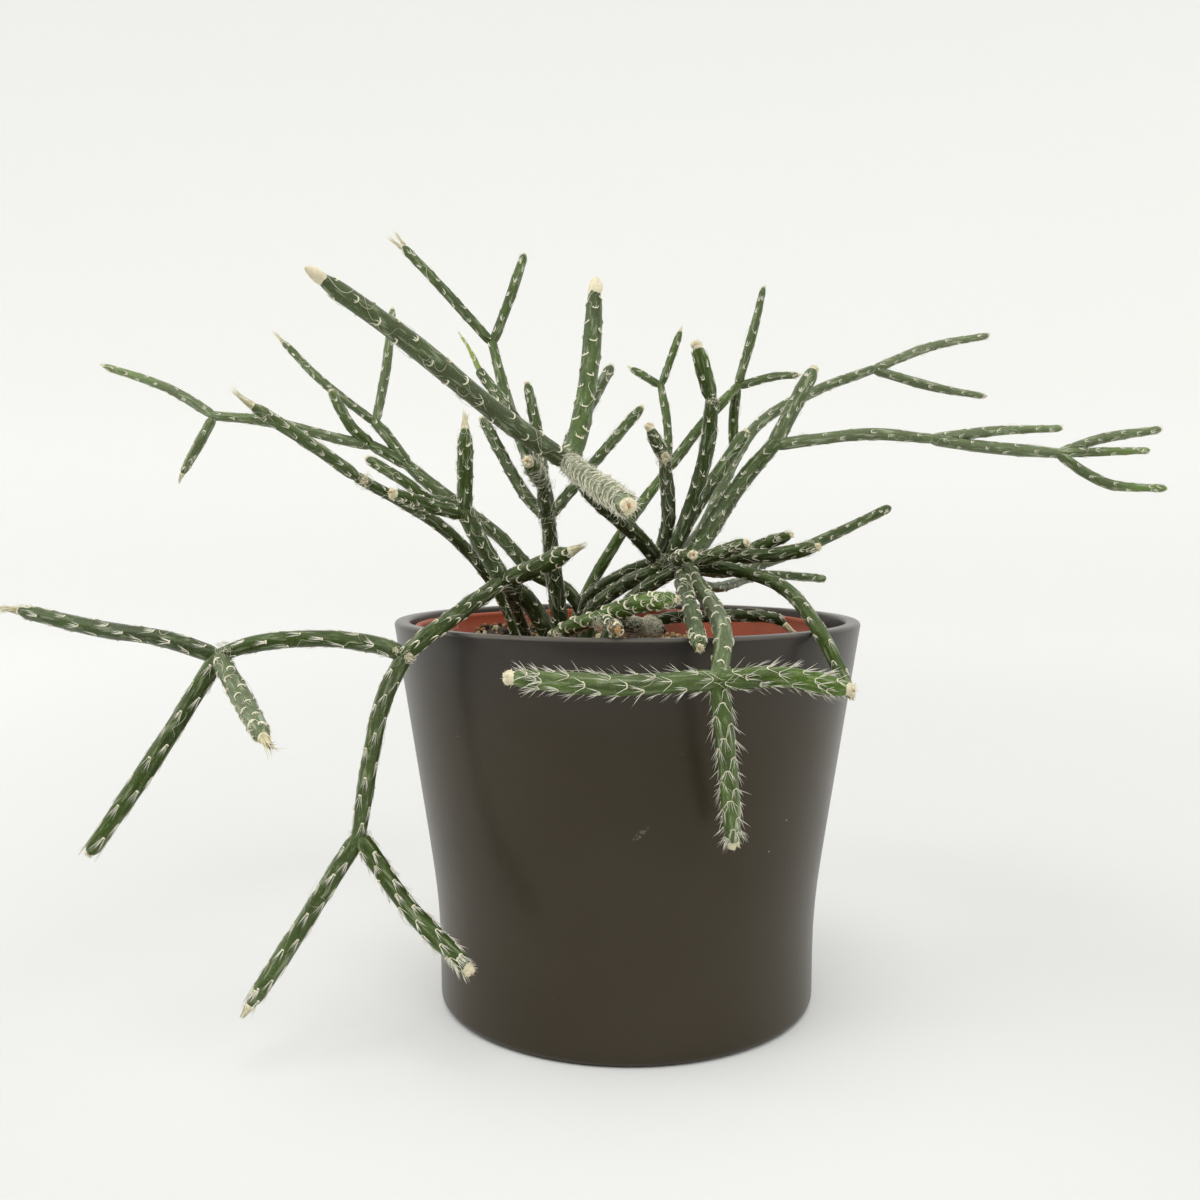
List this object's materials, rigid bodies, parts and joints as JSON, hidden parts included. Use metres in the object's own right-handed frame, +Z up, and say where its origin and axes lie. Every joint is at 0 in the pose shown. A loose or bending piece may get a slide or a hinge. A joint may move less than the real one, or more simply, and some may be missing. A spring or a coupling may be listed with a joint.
{
  "type": "potted rhipsalis pilocarpa",
  "caption": "Young hanging cactus with thin bristly forked stems, in a terracotta plastic nursery pot inside a dark tapered ceramic cover pot.",
  "frame": {"origin": "centre of the cover pot's flat underside", "axes": "+Z up along the cover pot's axis, -Y towards the front of the plant"},
  "size_m": [0.3703, 0.2053, 0.2364],
  "materials": {
    "ceramic": "matte dark grey-brown ceramic",
    "nursery_plastic": "satin terracotta-coloured plastic",
    "soil": "crumbly peat and bark",
    "stem_skin": "satin green cactus skin with pale bristles"
  },
  "bodies": {
    "root": {"cover_pot": "ceramic", "nursery_pot": "nursery_plastic", "soil": "soil", "stem_front_left": "stem_skin", "stem_back_left": "stem_skin", "stem_left": "stem_skin", "stem_middle": "stem_skin", "stem_hub": "stem_skin", "stem_back": "stem_skin", "stem_rim": "stem_skin", "stem_inside": "stem_skin"}
  },
  "joints": []
}
